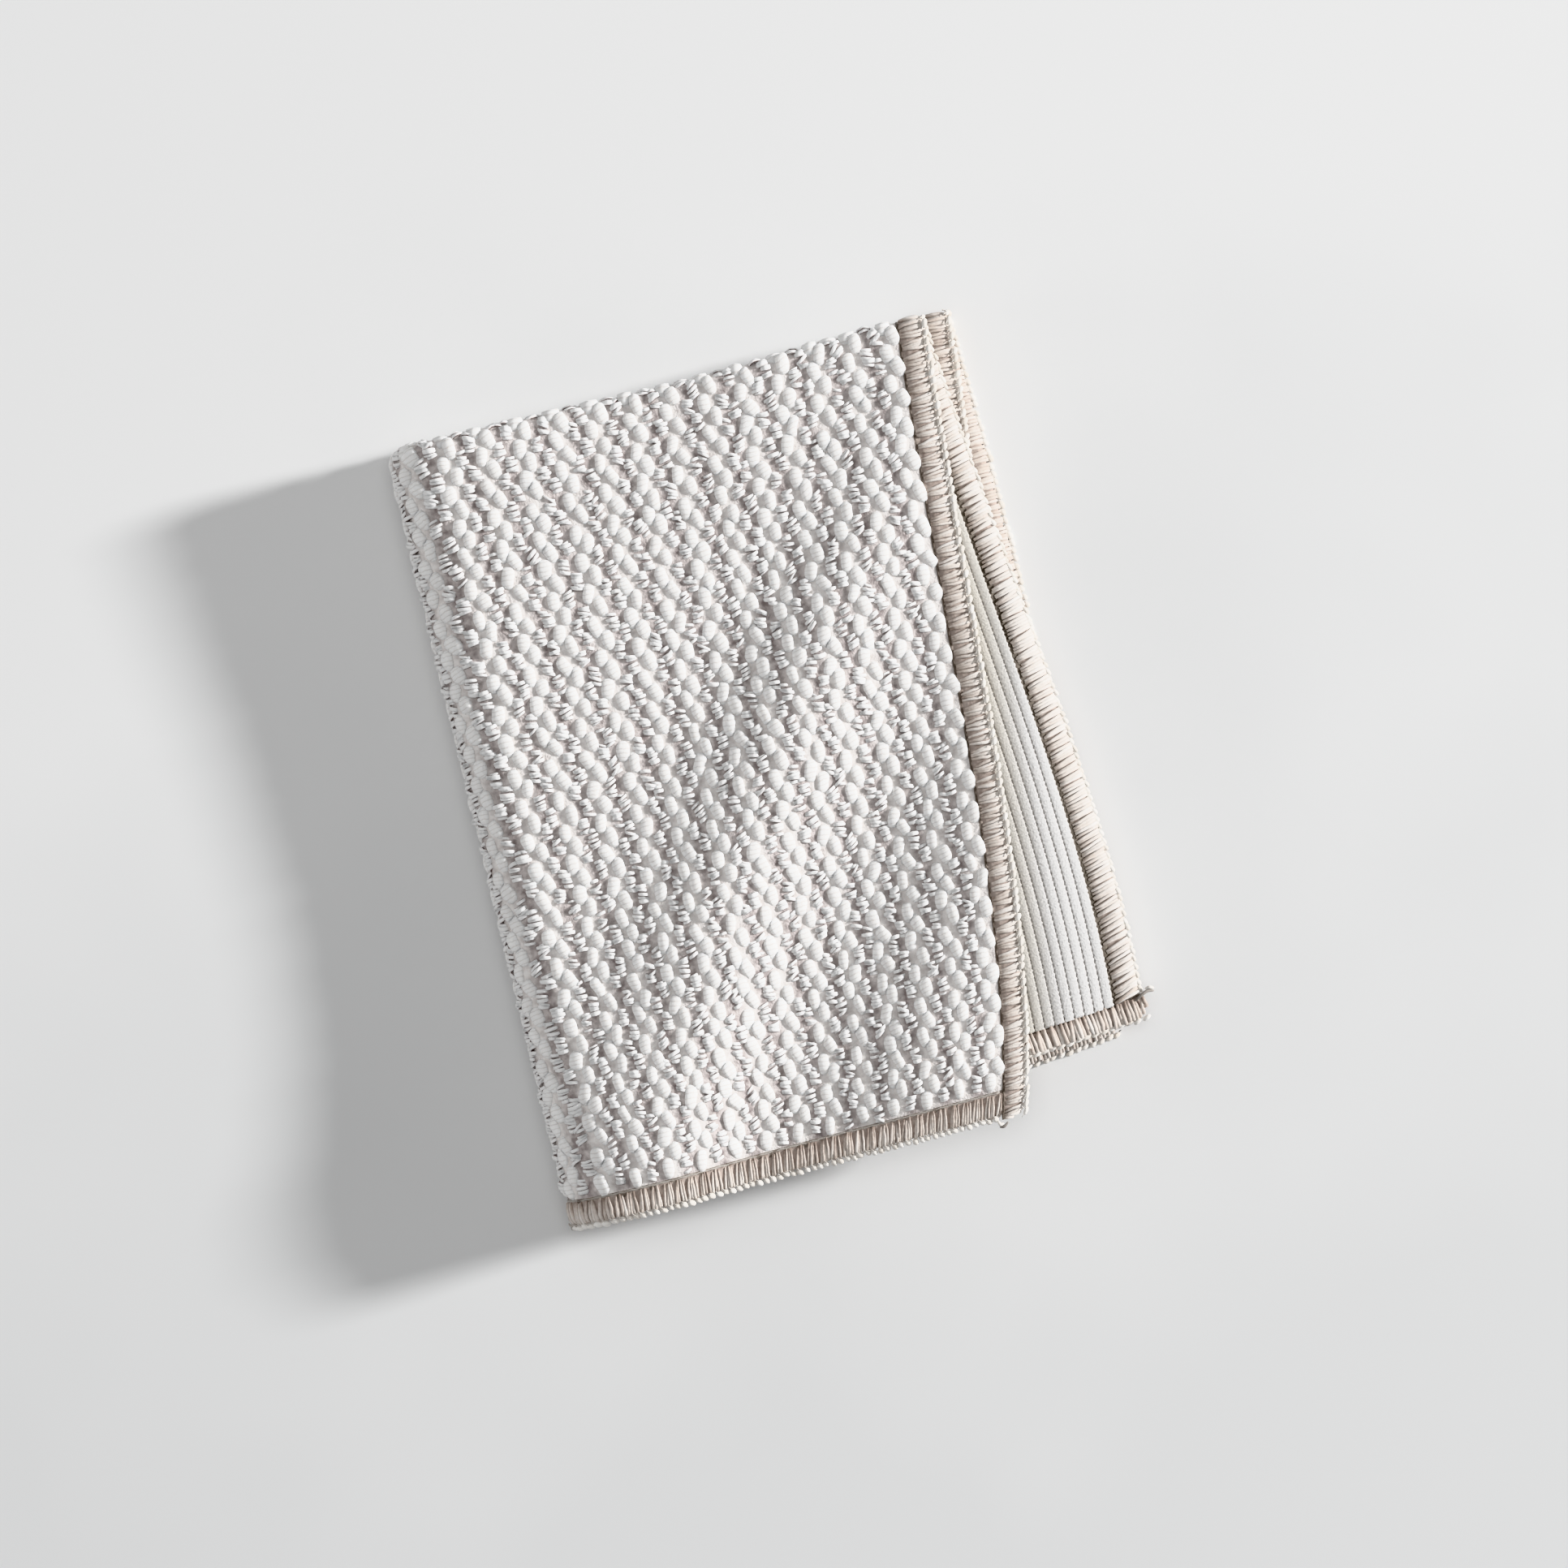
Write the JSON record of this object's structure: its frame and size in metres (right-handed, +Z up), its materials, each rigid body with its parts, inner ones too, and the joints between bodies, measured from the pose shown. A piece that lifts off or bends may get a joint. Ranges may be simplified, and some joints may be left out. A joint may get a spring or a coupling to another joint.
{
  "type": "folded nubby knit kitchen dishcloth",
  "caption": "Nubby knit kitchen cloth with an overlocked edge, folded in half and in half again into a soft flat bundle.",
  "frame": {"origin": "middle of the bundle's box, at the surface it lies on", "axes": "+Y towards the top fold, along the cloth's length; +X towards the free right edges, away from the left fold; +Z up"},
  "size_m": [0.1282, 0.1688, 0.0227],
  "materials": {
    "knit_white_and_taupe": "white nubs and ribs over grey-brown yarn, matt",
    "thread_taupe": "dense taupe overlock thread, soft sheen"
  },
  "bodies": {
    "root": {"knit_panel": "knit_white_and_taupe", "overlocked_edge": "thread_taupe"}
  },
  "joints": []
}
